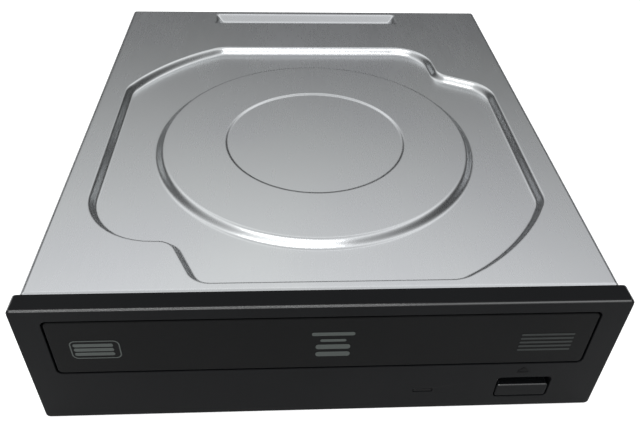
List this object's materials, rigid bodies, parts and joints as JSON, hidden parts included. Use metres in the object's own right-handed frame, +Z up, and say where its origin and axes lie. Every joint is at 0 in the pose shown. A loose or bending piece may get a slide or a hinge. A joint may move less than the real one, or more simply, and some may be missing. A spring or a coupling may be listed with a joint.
{
  "type": "internal dvd writer",
  "caption": "Half-height internal disc drive: pressed steel case, black front panel, motor-driven tray, lifting deck with spindle and pickup, disc clamp, boards, data and power plug.",
  "frame": {"origin": "middle of the bounding box, on the underside of the case", "axes": "+X to the right seen from the front, +Y from the front panel to the rear, +Z up"},
  "size_m": [0.1486, 0.1704, 0.042],
  "materials": {
    "cover_steel": "smooth zinc-plated sheet",
    "bridge_steel": "bright stamped sheet",
    "front_black": "fine matt grain",
    "door_black": "fine matt grain",
    "frame_black": "matt",
    "tray_black": "matt",
    "light_resin": "milky, translucent",
    "white_resin": "natural resin",
    "rod_steel": "ground",
    "screw_steel": "plated",
    "rubber": "matt",
    "magnet": "sintered",
    "coil": "enamelled copper",
    "pickup_metal": "die cast, dark",
    "lens_glass": "coated",
    "board": "solder mask",
    "chip": "moulded",
    "capacitor": "can"
  },
  "bodies": {
    "housing": {"top_cover": "cover_steel", "bottom_cover": "cover_steel", "bezel": "front_black", "led_lens": "light_resin", "main_frame": "frame_black", "clamp_bridge": "bridge_steel", "bridge_screws": "screw_steel", "loading_motor": "bridge_steel", "drive_belt": "rubber", "main_board": "board", "board_chips": "chip", "capacitors": "capacitor", "board_sockets": "white_resin", "sata_connector": "chip", "board_screws": "screw_steel", "front_board": "board", "eject_switch": "chip", "status_led": "light_resin", "front_ribbon": "white_resin", "case_screws": "screw_steel"},
    "drawer": {"tray": "tray_black", "tray_door": "door_black"},
    "tray_wheel": {"tray_gear": "white_resin"},
    "belt_wheel": {"belt_gear": "white_resin"},
    "motor_wheel": {"motor_shaft": "rod_steel", "motor_pulley": "white_resin"},
    "cam": {"cam_slider": "white_resin"},
    "deck": {"lift_frame": "frame_black", "deck_plate": "bridge_steel", "dampers": "rubber", "damper_screws": "screw_steel", "guide_rod_left": "rod_steel", "guide_rod_right": "rod_steel", "rod_clips": "frame_black", "sled_motor": "bridge_steel", "screw_bracket": "bridge_steel", "spindle_base": "bridge_steel", "spindle_stator": "coil", "spindle_screws": "screw_steel"},
    "sled": {"pickup_body": "pickup_metal", "pickup_shield": "bridge_steel", "actuator_yoke": "bridge_steel", "actuator_magnets": "magnet", "screw_follower": "white_resin"},
    "lens": {"lens_holder": "frame_black", "focus_coil": "coil", "objective_lens": "lens_glass"},
    "screw": {"lead_screw": "rod_steel"},
    "spindle": {"spindle_rotor": "bridge_steel", "rotor_magnet": "magnet", "turntable": "frame_black", "turntable_pad": "rubber"},
    "clamp": {"clamp_puck": "frame_black", "clamp_magnet": "magnet"},
    "button": {"eject_button": "door_black"}
  },
  "joints": [
    {"name": "tray_slide", "type": "slide", "parent": "housing", "child": "drawer", "axis": [0, -1, 0], "range_m": [0, 0.14]},
    {"name": "tray_gear_turn", "type": "hinge", "parent": "housing", "child": "tray_wheel", "pos_m": [-0.0495, -0.0648, 0.0174], "axis": [0, 0, 1], "range_deg": [0, 1150]},
    {"name": "belt_gear_turn", "type": "hinge", "parent": "housing", "child": "belt_wheel", "pos_m": [-0.0335, -0.0648, 0.0151], "axis": [0, 0, 1], "range_deg": [-2680, 0]},
    {"name": "motor_turn", "type": "hinge", "parent": "housing", "child": "motor_wheel", "pos_m": [0.004, -0.0648, 0.0151], "axis": [0, 0, 1], "range_deg": [-6950, 0]},
    {"name": "cam_slide", "type": "slide", "parent": "housing", "child": "cam", "axis": [1, 0, 0], "range_m": [0, 0.02]},
    {"name": "deck_lift", "type": "hinge", "parent": "housing", "child": "deck", "pos_m": [0, 0.0712, 0.0133], "axis": [1, 0, 0], "range_deg": [0, 4.09]},
    {"name": "sled_slide", "type": "slide", "parent": "deck", "child": "sled", "axis": [0, 1, 0], "range_m": [0, 0.035]},
    {"name": "lead_screw_turn", "type": "hinge", "parent": "deck", "child": "screw", "pos_m": [0.0346, 0.027, 0.0162], "axis": [0, 1, 0], "range_deg": [0, 4210]},
    {"name": "lens_focus", "type": "slide", "parent": "sled", "child": "lens", "axis": [0, 0, 1], "range_m": [-0.0006, 0.0006], "stiffness_N_per_m": 40},
    {"name": "spindle_spin", "type": "hinge", "parent": "deck", "child": "spindle", "pos_m": [0, -0.013, 0.026], "axis": [0, 0, 1], "continuous": true},
    {"name": "clamp_spin", "type": "hinge", "parent": "housing", "child": "clamp", "pos_m": [0, -0.013, 0.032], "axis": [0, 0, 1], "continuous": true},
    {"name": "eject_press", "type": "slide", "parent": "housing", "child": "button", "axis": [0, 1, 0], "range_m": [0, 0.001], "stiffness_N_per_m": 400}
  ],
  "couplings": [
    {"joint": "tray_gear_turn", "follows": "tray_slide", "rad_per_m": 142.86},
    {"joint": "belt_gear_turn", "follows": "tray_slide", "rad_per_m": -333.33},
    {"joint": "motor_turn", "follows": "tray_slide", "rad_per_m": -865.62},
    {"joint": "deck_lift", "follows": "cam_slide", "rad_per_m": 3.566},
    {"joint": "lead_screw_turn", "follows": "sled_slide", "rad_per_m": 2094.4},
    {"joint": "clamp_spin", "follows": "spindle_spin", "ratio": 1}
  ]
}
